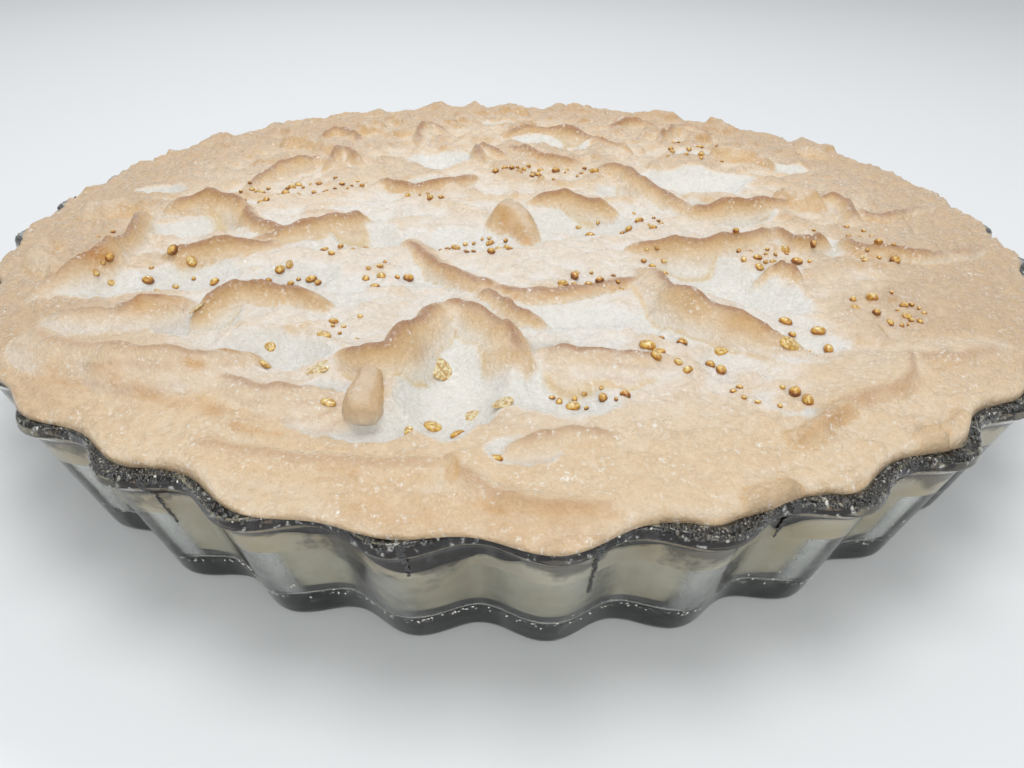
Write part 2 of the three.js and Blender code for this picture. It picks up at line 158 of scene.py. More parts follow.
# glass dish, whose sizes are shared by everything that touches the glass
dish = {
    "flutes": 33,
    "fluteTurn": 0.0508,
    "fluteFoot": 2.24,
    "fluteRim": 2.47,
    "height": 34.0,
    "steps": 33 * 18,  # turns at which the wall, and what lies against it, is drawn
    "rimOuter": 139.4,
    "rimInner": 136.9,
    "innerTop": (134.8, 31.0),
    "innerLow": (126.6, 9.4),
    "floor": 6.0,
}
dishTurn = dish["fluteTurn"] + np.arange(dish["steps"]) / dish["steps"] * math.tau


def fluteWave(turn):
    return np.cos(dish["flutes"] * (turn - dish["fluteTurn"]))


def fluteSwing(height):
    return mix(dish["fluteFoot"], dish["fluteRim"], np.asarray(height) / dish["height"])


def innerWall(height):
    (lowR, lowZ), (topR, topZ) = dish["innerLow"], dish["innerTop"]
    return lowR + (np.asarray(height) - lowZ) * (topR - lowR) / (topZ - lowZ)


# angles run from the front of the dish, anticlockwise seen from above
def around(turn, radius, height):
    turn, radius, height = np.broadcast_arrays(turn, radius, height)
    return np.stack([radius * np.sin(turn), -radius * np.cos(turn), height], -1)


# closed skin over rings of equal count, from the centre of the underside to the centre of the top
def skinRings(bottom, rings, top):
    count = len(rings[0])
    points = np.vstack([[bottom], *rings, [top]])
    here = np.arange(count)
    after = (here + 1) % count
    last = 1 + (len(rings) - 1) * count
    faces = [[0, 1 + b, 1 + a] for a, b in zip(here, after)]
    faces += (1 + tubeFaces(len(rings) - 1, count)).tolist()
    faces += [[len(points) - 1, last + a, last + b] for a, b in zip(here, after)]
    return points, faces


# corners of a section, each rounded by its own radius
def roundedSection(corners, stepsPerCorner=5):
    section = []
    for k, (radius, height, rounding) in enumerate(corners):
        here = np.array([radius, height])
        if rounding == 0:
            section.append(here)
            continue
        before = np.array(corners[k - 1][:2]) - here
        after = np.array(corners[k + 1][:2]) - here
        before, after = before / np.linalg.norm(before), after / np.linalg.norm(after)
        half = math.acos(np.clip(before @ after, -1, 1)) / 2
        reach = rounding / math.tan(half)
        for t in np.linspace(0, 1, stepsPerCorner + 1):
            start, end = here + before * reach, here + after * reach
            section.append((1 - t) ** 2 * start + 2 * t * (1 - t) * here + t * t * end)
    return np.array(section)


def makeGlass():
    # pressed clear soda-lime glass: bright edges, dulled by streaks and specks of fat and sugar baked on,
    # with painted glints round the rim
    material, add, shader = newMaterial("pressedClearGlass")
    onPiece = {"Vector": add("TexCoord").outputs["Object"]}
    upright = add("Mapping", {"Scale": (1, 1, 0.3)}, onPiece)
    streaks = add("TexNoise", {"Scale": 1 / (5 * mm), "Detail": 5.0, "Roughness": 0.65},
                  {"Vector": upright})   # 5 mm streaks, running down the wall
    specks = add("TexNoise", {"Scale": 1 / (1.2 * mm), "Detail": 2.0}, onPiece)
    haze = add("MapRange", {"From Min": 0.53, "From Max": 0.72, "To Max": 0.1}, {"Value": streaks})
    place = add("SeparateXYZ", links=onPiece)
    sugarAndRimGlints = add("MapRange", {"From Min": 29 * mm, "From Max": 32 * mm, "To Min": 0.05, "To Max": 0.4},
                  {"Value": place.outputs["Z"]})   # more spots of sugar round the rim, raised there as painted glints
    spots = add("MapRange", {"From Min": 0.58, "From Max": 0.7}, {"Value": specks, "To Max": sugarAndRimGlints})
    film = add("Math", links={0: haze, 1: spots}, operation="ADD", use_clamp=True)
    clear = add("Math", {0: 1.0}, {1: film}, operation="SUBTRACT")
    colour = add("MixRGB", {"Color1": "#f1f4f1", "Color2": "#d8cfba"}, {"Fac": film})
    dull = add("MapRange", {"From Max": 0.4, "To Min": 0.12, "To Max": 0.3}, {"Value": film})
    # 9 mm waviness of pressed glass
    ripple = add("TexNoise", {"Scale": 1 / (9 * mm), "Detail": 2.0}, onPiece)
    bump = add("Bump", {"Strength": 0.25, "Distance": 0.25 * mm}, {"Height": ripple})
    fillSockets(shader, {"IOR": 1.5},
                {"Transmission Weight": clear, "Base Color": colour, "Roughness": dull, "Normal": bump})
    depth = add("VolumeAbsorption", {"Color": "#c0c0b2", "Density": 19.0})   # grey-green where it is thick
    fillSockets(material.node_tree.nodes["Material Output"], links={"Volume": depth})
    return material


def makeDish():
    top, floor = dish["height"], dish["floor"]
    # radius, height and rounding of each corner, from under the base over the rim to the floor
    corners = [
        (118.0, 0.0, 0), (128.3, 0.0, 3.4), (138.0, 29.2, 5.0), (140.3, 31.6, 1.0), (140.1, top, 1.2),
        (136.7, top, 1.2), (innerWall(29.5), 29.5, 6.0), (innerWall(7.2), floor, 3.0), (110.0, floor, 0),
    ]
    rings = [around(dishTurn, radius + fluteSwing(height) * fluteWave(dishTurn), height)
             for radius, height in roundedSection(corners)]
    points, faces = skinRings([0, 0, 0], rings, [0, 0, floor])
    addPiece("glassDish", points, faces, makeGlass(), "dish")


# pastry case
crust = {
    "floor": 4.0,
    "footRadius": 122.6,
    "edgeMean": 28.9,
    "edgeSwing": 0.5,
    "edgeWaves": ((1.0, 5, 0.6), (0.7, 9, 2.1), (0.5, 17, 0.0)),  # size, waves round the rim, start
    "ragged": ((0.5, 40, 3.5), (0.3, 90, 8.5)),  # size, how often, seed
    "innerHeight": 22.0,
    "innerTop": 126.3,
    "innerLow": 117.5,
    "intoGlass": 0.15,
    "tiers": 12,
    "smears": (15.0, -1.0),  # how far below the edge the smears of filling start and are thickest
}
filling = {
    "top": 30.2,
    "leastDepth": 0.3,  # where the pastry stands highest
    "lap": 0.05,
    "inset": 0.1,
    "tiers": 6,
}

# where the edge sank and the filling shows: turn and spread in degrees, depth
crustDips = [
    (-7.5, 2.6, 5.0), (-3.8, 2.2, 4.6), (-0.4, 1.6, 3.6), (-14.5, 2.2, 2.6), (8.5, 2.2, 2.4),
    (20.8, 1.6, 4.2), (52, 4, 3.0), (98, 5, 3.5), (163, 6, 4.5), (-125, 5, 3.5), (-72, 4, 2.8),
    (-45, 3, 2.2),
]


# how near a turn is to a place on the rim, 1 there and falling to 0
def nearTurn(turn, centre, spread):
    away = turn - math.radians(centre)
    away = np.arctan2(np.sin(away), np.cos(away))
    return np.exp(-(away / math.radians(spread)) ** 2)


# swing of an edge round the rim, between -1 and 1
def ringWave(turn, waves):
    swing = sum(size * np.sin(count * turn + start) for size, count, start in waves)
    return swing / sum(size for size, count, start in waves)


def crustEdge(turn):
    edge = crust["edgeMean"] + crust["edgeSwing"] * ringWave(turn, crust["edgeWaves"])
    for centre, spread, depth in crustDips:
        edge = edge - depth * nearTurn(turn, centre, spread)
    ragged = sum(size * unevenness(turn * often, turn * 0 + seed) for size, often, seed in crust["ragged"])
    return np.minimum(edge + ragged, filling["top"] - filling["leastDepth"])


# ring that reaches just into the glass wall
def againstGlass(height):
    radius = innerWall(height) + crust["intoGlass"] + fluteSwing(height) * fluteWave(dishTurn)
    return around(dishTurn, radius, height)


def makePastry():
    # shortcrust pastry, rolled and baked: pale, matt and grainy, a little browner in patches
    material, add, shader = newMaterial("bakedShortcrust")
    onPiece = {"Vector": add("TexCoord").outputs["Object"]}
    patches = add("TexNoise", {"Scale": 1 / (14 * mm), "Detail": 4.0}, onPiece)
    colours = add("ValToRGB", links={"Fac": patches}, stops=((0.35, "#e0d0b0"), (0.7, "#faf2e0")))
    # smears of carob cream that seeped down between the pastry and the glass
    place = add("SeparateXYZ", links=onPiece)
    low, high = [(crust["edgeMean"] - below) * mm for below in crust["smears"]]
    upper = add("MapRange", {"From Min": low, "From Max": high, "To Min": -0.14, "To Max": 0.17},
                {"Value": place.outputs["Z"]})
    seeped = add("TexNoise", {"Scale": 1 / (15 * mm), "Detail": 5.0, "Roughness": 0.6}, onPiece)
    amount = add("Math", links={0: upper, 1: seeped}, operation="ADD")
    smear = add("MapRange", {"From Min": 0.57, "From Max": 0.66, "To Max": 0.75}, {"Value": amount})
    smeared = add("MixRGB", {"Color2": "#4a423c"}, {"Fac": smear, "Color1": colours})
    # it lies against the glass, so it has hardly any shine
    fillSockets(shader, {"Roughness": 0.8, "Specular IOR Level": 0.1}, {"Base Color": smeared})
    return material


def makeCrust():
    edge = crustEdge(dishTurn)
    low, floor = dish["floor"] - crust["intoGlass"], dish["floor"] + crust["floor"]
    rings = [around(dishTurn, crust["footRadius"] + fluteSwing(low) * fluteWave(dishTurn), low)]
    for share in np.linspace(0, 1, crust["tiers"]):
        rings.append(againstGlass(mix(dish["innerLow"][1], edge, share)))
    rings.append(around(dishTurn, crust["innerTop"], crust["innerHeight"]))
    rings.append(around(dishTurn, crust["innerLow"], floor))
    points, faces = skinRings([0, 0, low], rings, [0, 0, floor])
    addPiece("pastryCase", points, faces, makePastry(), "crust")


def makeCarob():
    # set carob cream: near-black brown, smooth and moist
    material, add, shader = newMaterial("setCarobCream")
    onPiece = {"Vector": add("TexCoord").outputs["Object"]}
    streaks = add("TexNoise", {"Scale": 1 / (6 * mm), "Detail": 5.0}, onPiece)
    colours = add("ValToRGB", links={"Fac": streaks}, stops=((0.3, "#150d0b"), (0.75, "#2e1d18")))
    # it lies against the glass too
    fillSockets(shader, {"Roughness": 0.4, "Specular IOR Level": 0.1}, {"Base Color": colours})
    return material


def makeFilling():
    edge = crustEdge(dishTurn) + filling["lap"]
    low = dish["floor"] + crust["floor"] + filling["lap"]
    rings = [around(dishTurn, crust["innerLow"] - filling["inset"], low),
             around(dishTurn, crust["innerTop"] - filling["inset"], crust["innerHeight"] + filling["lap"])]
    for share in np.linspace(0, 1, filling["tiers"]):
        rings.append(againstGlass(mix(edge, filling["top"], share)))
    points, faces = skinRings([0, 0, low], rings, [0, 0, filling["top"]])
    addPiece("carobFilling", points, faces, makeCarob(), "filling")


# meringue
meringue = {
    "rimLine": 32.5,
    "reach": 140.0,
    "edgeHeight": 2.2,
    "edgeInset": 0.6,  # from the outside of the rim
    "edgeSwing": 1.3,
    "edgeWaves": ((1.0, 3, 1.2), (0.8, 7, 0.4), (0.6, 13, 2.0)),  # size, waves round the rim, start
    "edgeFollow": 0.6,  # how far the edge goes in and out with the flutes
    "edgeOver": 0.5,  # how far the foot of the edge stands out under it
    "domeHeight": 6.6,
    "domePower": (6.0, 2.5),  # full at the front edge, tapering at the far edge
    "drift": ((2.8, 23), (1.5, 8)),  # how far the shapes wander, and over what length
    "swirlHeight": 1.6,
    "swirlSize": (27.0, 22.0),
    "rippleHeight": 0.9,
    "rippleSize": (11.0, 9.0),
    "crestSharp": 2.6,  # how narrow swirls and ripples are
    "between": 1.2,  # how far the spread surface lies below the mean level, away from the edge
    "calm": (102.0, 128.0),  # radius from which the surface calms down, and where it is calmest
    "hollowGain": 1.25,
    "blend": 0.3,
    "bumpHeight": 6.5,  # lumps along the far edge
    "bumpSize": (13.0, 10.0),
    "bumpPlace": (10, 90),  # how far back they start and are tallest
    "rings": 175,
    "sheet": {
        "gain": 1.8,
        "nearer": 1.0,  # how much nearer a crest stands than what it hides, for each mm of height
        "run": (0.78, 0.52),  # share of its run that a full and a hollow front keep
        "foot": 5.0,  # how far a front runs down below the mean level
        "fall": 2.0,  # slope of a front beyond its run
        "crestRound": 0.8,
        "endPower": 0.4,  # how bluntly a crest ends
        "uneven": 0.5,  # how much its height varies along it
        "backPower": 1.2,
        "colour": (0.74, 0.62),  # of its crest, in the middle and at the edge of the pie
        "frontFade": (0.6, 0.2),  # how much paler its foot is, less at the edge of the pie
        "edge": (105, -70, -75),  # least radius where such a crest ends, how far left or near it starts
        "backFade": (0.5, 0.15),  # how much paler a short and a long far side are
        "longBack": 6,
        "cover": 1.6,  # mm of height over which it takes over from what it lies on
        "foldLine": 0.55,  # mm of height over which its foot shows as a golden painted shade line
        "crestLine": 0.45,  # half width of the painted shadow line along its crest
        "wrinkle": 2.8,  # spacing of the painted shade lines of the fine wrinkles along its front
    },
    "lump": {
        "colour": 0.65,
        "round": 0.9,
        "fall": 1.8,  # slope beyond its radius
        "cover": 1.6,
        "foldLine": 0.6,
    },
    "bake": {  # the oven's colour, 0 white and 1 tan, and where the pie turned tan
        "spread": 0.12,
        "spreadCrest": 0.3,
        "spreadTan": 0.44,
        "edge": 0.62,
        "edgeTan": 0.36,
        "edgePlace": (96, 118),
        "back": (-40, 50),
        "left": (60, 110),
        "right": ((48, 88), (-110, -70)),
        "proud": 0.14,  # more for each mm that a point stands above what is round it
        "curl": (0.4, 0.85),  # at the foot and at the top of a standing curl
        "curlPlace": (3, 8),
        "steep": (-0.95, -0.63),  # slopes that start to turn golden and are golden, partly browning and partly painted shade, as -z of the normal
        "frontEdgeShade": 0.6,  # how golden the painted shade on the front of the edge is
        "frontPlace": ((110, 126), (60, 120)),  # radius, and how near
    },
    "skin": {  # fine relief of the dried skin, heights in mm
        "edge": (98, 116),  # radius where long bands along the edge take over from the folds
        "bands": 1.6,
        "folds": 1.5,
        "waves": 2.2,
        "farLumps": 2.6,
        "farPlace": (-20, 50),
        "creases": 1.3,
        "grain": 0.4,
        "inHollows": 0.35,  # share of it that is left in the hollows
        "onSheets": 0.5,  # and on the sheets
    },
}

# scooped hollows: across, away, half length, half width, heading in degrees, depth
hollows = [
    (-85, -21, 15, 9, 8, 5.0), (-79, -56, 16, 8, 0, 3.5), (-51, -56, 11, 8, 0, 3.0),
    (-70, -75, 13, 9, 0, 5.0), (-50, -90, 14, 7, -15, 4.0), (-35, -110, 8, 8, 0, 4.5),
    (-12, -104, 11, 16, 0, 5.5), (1, -122, 6, 4, 0, 2.5), (-25, -114, 10, 6, 0, 4.2),
    (-108, 12, 8, 5, 0, 3.5), (-25, 41, 13, 10, 0, 4.0), (-28, 13, 8, 7, 0, 3.5), (-38, -31, 10, 9, 0, 4.0),
    (-13, -33, 13, 9, 0, 3.5), (-18, -57, 11, 8, 0, 2.0), (54, 20, 22, 13, 0, 4.5), (59, -10, 17, 9, 0, 4.5),
    (50, -54, 24, 11, -50, 5.0), (18, -18, 17, 12, 0, 5.0), (32, 10, 9, 6, 0, 3.5), (13, 64, 15, 10, 0, 4.0),
    (-4, 96, 11, 6, 0, 3.0), (91, 39, 9, 6, 0, 3.5), (77, -31, 10, 8, 0, 3.5), (12, -77, 20, 7, 0, 2.0),
    (9, -106, 12, 8, 0, 2.5), (59, -85, 12, 8, 0, 2.5), (47, 96, 9, 5, 0, 3.0), (62, 54, 10, 8, 0, 2.5),
    (-96, -59, 12, 7, 0, 2.0), (9, -90, 7, 4, 0, 3.0), (54, -104, 12, 5, 10, 1.5),
]

# spread sheets: start, bend and end of the crest, run of its front and far side, height, fullness
sheets = [
    ((-101, -80), (-76, -104), (-57, -91), 10, 7, 3.0, 0.5),
    ((-101, -74), (-83, -81), (-76, -69), 9, 4, 2.5, 0.7),
    ((-68, -72), (-62, -63), (-42, -70), 13, 4, 2.5, 1.5),
    ((-86, -43), (-71, -43), (-60, -38), 14, 4, 2.5, 1.6),
    ((-103, -14), (-90, -52), (-110, -60), 9, 5, 3.0, 1.2),
    ((-98, -7), (-84, -5), (-77, -10), 12, 4, 2.5, 1.5),
    ((-79, -6), (-68, -31), (-57, -28), 8, 4, 1.0, 1.5),
    ((-67, -38), (-44, -21), (-42, -18), 14, 5, 2.0, 1.5),
    ((-80, 8), (-74, 35), (-64, 39), 16, 5, 1.5, 1.5),
    ((-60, 30), (-58, 56), (-49, 32), 14, 4, 2.2, 1.2),
    ((-72, 67), (-65, 100), (-56, 60), 9, 4, 1.3, 1.2),
    ((-35, 58), (-34, 100), (-25, 74), 12, 4, 1.8, 0.8),
    ((-41, 16), (-30, -1), (-13, 20), 10, 4, 1.5, 1.5),
    ((-12, 36), (-15, 66), (-3, 39), 8, 3, 1.8, 1.0),
    ((-34, -92), (-23, -102), (-15, -74), 7, 5, 3.2, 0.8),
    ((-15, -74), (-4, -75), (2, -95), 9, 6, 2.6, 0.7),
    ((-28, -34), (-14, -64), (-4, -63), 5, 9, 1.0, 0.7),
    ((-7, -63), (11, -71), (30, -55), 5, 9, 0.9, 0.7),
    ((-8, -67), (-3, -70), (6, -78), 6, 3, 1.2, 1.0),
    ((8, -91), (15, -94), (29, -92), 14, 4, 1.5, 0.7),
    ((32, -53), (32, -79), (56, -83), 12, 4, 3.0, 0.8),
    ((30, -40), (48, -40), (69, -24), 12, 4, 2.0, 1.3),
    ((70, -23), (70, -42), (81, -28), 9, 4, 2.0, 1.3),
    ((29, 30), (32, 24), (50, -8), 12, 4, 2.0, 1.2),
    ((50, -9), (60, -11), (81, 1), 9, 4, 1.8, 1.3),
    ((4, -4), (15, -1), (26, -7), 9, 4, 1.8, 1.3),
    ((-2, 54), (10, 32), (22, 35), 9, 4, 1.5, 1.3),
    ((-3, 71), (12, 93), (40, 53), 10, 4, 1.3, 1.4),
    ((51, 65), (69, 122), (75, 76), 14, 4, 1.2, 1.3),
    ((36, 86), (45, 106), (58, 97), 8, 4, 0.9, 1.3),
    ((90, 3), (98, 5), (94, -15), 8, 4, 2.0, 1.0),
    ((87, -28), (91, -47), (112, -34), 5, 5, 1.8, 0.8),
    ((100, -4), (96, -27), (128, 11), 7, 4, 1.2, 1.0),
    ((112, -34), (114, -37), (127, -23), 4, 4, 1.5, 0.8),
    ((62, -50), (67, -49), (68, -54), 7, 3, 1.5, 1.0),
    ((-58, -99), (-48, -109), (-38, -105), 14, 4, 1.2, 0.5),
    ((-59, -117), (-27, -127), (-12, -126), 9, 7, 0.7, 0.6),
    ((-11, -125), (-3, -136), (14, -132), 6, 9, 1.2, 0.6),
    ((0, -120), (5, -116), (18, -118), 9, 3, 0.9, 0.8),
    ((58, -105), (80, -100), (82, -88), 3, 24, 1.1, 0.6),
    ((83, -91), (90, -88), (102, -82), 3, 20, 1.0, 0.6),
]

# low lumps: start, bend and end of the spine, radius and height of the top at start and end
lumps = [
    ((-3, -21), (4, -23), (5, -32), 3.6, 2.4, 5.8, 1.6),
    ((81, 1), (84, 2), (87, 0), 5.0, 5.5, 4.0, 3.6),
    ((-121, -10), (-117, -12), (-112, -10), 6.0, 6.0, 3.6, 3.6),
    ((-122, -33), (-123, -45), (-110, -51), 3.0, 3.4, 3.4, 2.8),
    ((-80, 58), (-72, 57), (-63, 46), 3.4, 3.4, 3.6, 3.4),
    ((40, -133), (42.5, -132.5), (45, -131.5), 3.0, 3.2, 3.2, 3.0),
    ((74, -114.5), (75, -114.5), (76, -114), 1.8, 2.0, 3.0, 3.0),
    ((79, -111), (81, -110), (84, -107), 2.2, 2.6, 2.4, 2.0),
    ((50, -117), (54, -114), (60, -108), 2.6, 3.0, 2.3, 2.5),
    ((-11, -126), (-11, -127), (-10, -129), 1.5, 1.6, 2.0, 1.5),
    ((-4, 112), (-2, 114), (2, 112), 3.0, 3.0, 3.0, 2.8),
    ((105, 62), (108, 61), (110, 58), 4.0, 4.0, 3.0, 2.8),
    ((72, 51), (77, 49), (83, 46), 5.0, 6.0, 3.2, 3.0),
]

# standing curls: start, bend and end of the spine above the rim line, radius at start, middle and end
curls = [
    ((-27, -94, 8.6), (-27.2, -102, 9.8), (-27.6, -112.5, 4.6), (0.9, 1.8, 5.4)),
]


# squared distance from an oval's middle, 1 on its outline
def oval(x, y, shape):
    across, away, length, width, heading = shape[:5]
    turn = math.radians(heading)
    dx, dy = x - across, y - away
    along = (dx * math.cos(turn) + dy * math.sin(turn)) / length
    aside = (dy * math.cos(turn) - dx * math.sin(turn)) / width
    return along ** 2 + aside ** 2


# nearest place on a bent crest: distance to it, side of it and share of the way along it
def alongCrest(x, y, start, bend, end, pieces=14):
    nearest = np.full(np.shape(x), np.inf)
    side, share = np.zeros(np.shape(x)), np.zeros(np.shape(x))
    t = np.linspace(0, 1, pieces + 1)[:, None]
    line = (1 - t) ** 2 * np.array(start) + 2 * t * (1 - t) * np.array(bend) + t * t * np.array(end)
    for k in range(pieces):
        (ax, ay), (bx, by) = line[k], line[k + 1] - line[k]
        at = np.clip(((x - ax) * bx + (y - ay) * by) / (bx * bx + by * by), 0, 1)
        dx, dy = x - ax - at * bx, y - ay - at * by
        away = np.hypot(dx, dy)
        closer = away < nearest
        nearest = np.where(closer, away, nearest)
        side = np.where(closer, np.sign(bx * dy - by * dx), side)
        share = np.where(closer, (k + at) / pieces, share)
    return nearest, side, share


# soft crests of the spread surface between the sheets
def spreadCrests(px, py):
    (swirlX, swirlY), (rippleX, rippleY) = meringue["swirlSize"], meringue["rippleSize"]
    swirl = np.abs(unevenness(px / swirlX, py / swirlY + 9))
    ripple = np.abs(unevenness(px / rippleX + 5, py / rippleY))
    crests = meringue["swirlHeight"] * ((1 - np.minimum(1, meringue["crestSharp"] * swirl)) ** 1.4 - 0.4)
    return crests + meringue["rippleHeight"] * (1 - np.minimum(1, meringue["crestSharp"] * ripple))


def addHollow(top, px, py, hollow):
    floor = top["base"] - meringue["hollowGain"] * hollow[5] * (1 - oval(px, py, hollow))
    top["colour"] = mix(top["colour"], 0.0, ease((top["lift"] - floor) / 2.0 + 0.45))
    top["lift"] = softMin(top["lift"], floor, 2 * meringue["blend"])


def addSheet(top, px, py, number, start, bend, end, front, far, height, fullness):
    form, calm = meringue["sheet"], top["calm"]
    foot, (edgeRadius, left, close) = form["foot"], form["edge"]
    away, side, along = alongCrest(px, py + form["nearer"] * height, start, bend, end)
    away = np.hypot(away, form["crestRound"]) - form["crestRound"]
    inFront, middle = side < 0, along * (1 - along)
    front = form["run"][fullness > 1] * front
    tall = form["gain"] * height * np.clip(4 * middle + 0.1, 0, 1) ** form["endPower"]
    tall = tall * (1 + form["uneven"] * unevenness(along * 5 + 9 * number, along * 0 + 0.5))
    near = (tall + foot) * np.maximum(0, 1 - away / front) ** fullness - foot
    near = near - form["fall"] * np.maximum(0, away - front)
    back = tall - (tall + foot) * (away / far) ** form["backPower"]
    sheet = top["base"] + np.where(inFront, near, back)
    proud = sheet - top["lift"]
    cover = ease(proud / form["cover"] + 0.5)
    # the oven's colour, paler down the front
    atEdge = math.hypot(*end) > edgeRadius and (start[0] < left or start[1] < close)
    frontFade = form["frontFade"][atEdge] * (away / front) ** 0.9
    backFade = form["backFade"][far > form["longBack"]] * away / far
    fade = mix(*form["colour"], calm) - np.where(inFront, frontFade, backFade)
    top["colour"] = mix(top["colour"], np.clip(fade, 0.1, 1), cover)
    # golden painted shade line at its foot
    fold = np.where(inFront, 0.9 - 0.5 * calm, 0.3) * np.exp(-(proud / form["foldLine"]) ** 2)
    top["footShadeLine"] = np.maximum(top["footShadeLine"] * (1 - cover), fold * ease(8 * middle))
    # painted shadow line along its crest, and painted shade lines in fine wrinkles along its front
    line = (1 - 0.6 * calm) * np.exp(-(away / form["crestLine"]) ** 2) * ease(10 * middle)
    wrinkle = (away + 1.4 * unevenness(px / 7, py / 7)) / form["wrinkle"]
    patchy = 0.4 * ease(0.4 + 2.2 * unevenness(px / 9 + 20, py / 9)) * inFront
    line = np.maximum(line, patchy * np.exp(-((wrinkle - np.round(wrinkle)) / 0.17) ** 2))
    top["outline"] = np.maximum(top["outline"] * (1 - cover), cover * line)
    top["smooth"] = np.maximum(top["smooth"], cover)
    top["lift"] = softMax(top["lift"], sheet, meringue["blend"])


def addLump(top, px, py, start, bend, end, startRadius, endRadius, startTop, endTop):
    form = meringue["lump"]
    away, along = alongCrest(px, py, start, bend, end, 6)[::2]
    girth = mix(startRadius, endRadius, along)
    inside = np.minimum(away, girth)
    drop = form["round"] * inside * inside / girth + form["fall"] * (away - inside)
    lump = top["base"] + mix(startTop, endTop, along) - drop
    proud = lump - top["lift"]
    top["colour"] = mix(top["colour"], form["colour"], ease(proud / form["cover"] + 0.5))
    # golden painted shade line at its foot
    top["footShadeLine"] = np.maximum(top["footShadeLine"], 0.7 * np.exp(-(proud / form["foldLine"]) ** 2))
    top["lift"] = softMax(top["lift"], lump, 2 * meringue["blend"])


# top of the meringue, layer over layer: lift above the rim line, mean level, how calm it is, the oven's
# colour, golden painted shade lines at the feet of the sheets, painted shadow lines along their crests, and
# how far sheets cover it
def meringueTop(x, y):
    bake = meringue["bake"]
    radius = np.hypot(x, y)
    share = np.minimum(1, radius / meringue["reach"])
    power = mix(*meringue["domePower"], rise(y, -100, 100))
    base = meringue["edgeHeight"] + meringue["domeHeight"] * (1 - share ** power)
    calm = rise(radius, *meringue["calm"])
    (wide, length), (slight, short) = meringue["drift"]
    px = x + wide * unevenness(x / length, y / length) + slight * unevenness(x / short, y / short + 30)
    py = y + wide * unevenness(x / length + 40, y / length) + slight * unevenness(x / short + 60, y / short)
    crests = spreadCrests(px, py)
    tanned = np.maximum(rise(y, *bake["back"]), rise(-x, *bake["left"]))
    tanned = np.maximum(tanned, rise(x, *bake["right"][0]) * rise(y, *bake["right"][1]))
    spread = bake["spread"] + bake["spreadTan"] * tanned + bake["spreadCrest"] * ease(crests / 1.6 + 0.3)
    top = {
        "base": base,
        "calm": calm,
        "lift": base + (1 - 0.85 * calm) * (crests - meringue["between"]),
        "colour": mix(spread, bake["edge"] + bake["edgeTan"] * tanned, rise(radius, *bake["edgePlace"])),
        "footShadeLine": np.zeros(len(x)),
        "outline": np.zeros(len(x)),
        "smooth": np.zeros(len(x)),
    }
    for hollow in hollows:
        addHollow(top, px, py, hollow)
    for number, sheet in enumerate(sheets):
        addSheet(top, px, py, number, *sheet)
    for lump in lumps:
        addLump(top, px, py, *lump)
    bumps = unevenness(px / meringue["bumpSize"][0] + 3, py / meringue["bumpSize"][1])
    bumps = meringue["bumpHeight"] * rise(y, *meringue["bumpPlace"]) * np.maximum(0, bumps)
    top["lift"] = np.maximum(top["lift"] + bumps, meringue["edgeHeight"])
    return top


# fine wrinkles of the dried skin, less in the hollows and on the sheets
def meringueSkin(x, y, top):
    skin = meringue["skin"]
    radius, turn = np.hypot(x, y), np.arctan2(x, -y)
    edge = rise(radius, *skin["edge"])
    bands = np.abs(unevenness(turn * 9 + 3, radius / 3.6 + 1.1 * unevenness(x / 12, y / 12)))
    folds = np.abs(unevenness(x / 6.5 + 7, y / 4.2 + 1.1 * unevenness(x / 11 + 3, y / 11)))
    creases = np.abs(unevenness(x / 3.4 + 17, y / 2.6 + 1.1 * unevenness(x / 7 + 3, y / 7)))
    waves = np.abs(unevenness(x / 15 + 2, y / 9 + 1.2 * unevenness(x / 17, y / 17 + 5)))
    farLumps = np.maximum(0, unevenness(x / 7 + 4, y / 5.5))
    relief = skin["bands"] * edge * (0.35 - bands) + skin["folds"] * (1 - 0.6 * edge) * (0.35 - folds)
    relief += skin["waves"] * (1 - 0.75 * edge) * (np.maximum(0, 0.3 - waves) - 0.12)
    relief += skin["farLumps"] * rise(y, *skin["farPlace"]) * farLumps
    relief = relief + skin["creases"] * (0.3 - creases) + skin["grain"] * unevenness(x / 1.9, y / 1.9)
    sheltered = mix(skin["inHollows"], 1, rise(top["lift"] - top["base"], -4, -1))
    return relief * sheltered * mix(1, skin["onSheets"], top["smooth"])


# where the meringue runs out over the rim or stops short of it: turn and spread in degrees, reach in mm
edgeRuns = [
    (2, 6, 3.0), (17.8, 2.6, 2.2), (-14.5, 5.5, 2.4), (-47, 7, 2.4), (-27, 6, -1.2), (13, 4.5, -1.4),
    (26, 7, -1.6), (42, 4, -1.4), (-95, 14, -1.8),
]


def meringueEdge(turn):
    mean = dish["rimOuter"] - meringue["edgeInset"]
    edge = mean + meringue["edgeSwing"] * ringWave(turn, meringue["edgeWaves"])
    for centre, spread, reach in edgeRuns:
        edge = mix(edge, mean + reach, nearTurn(turn, centre, spread))
    return edge


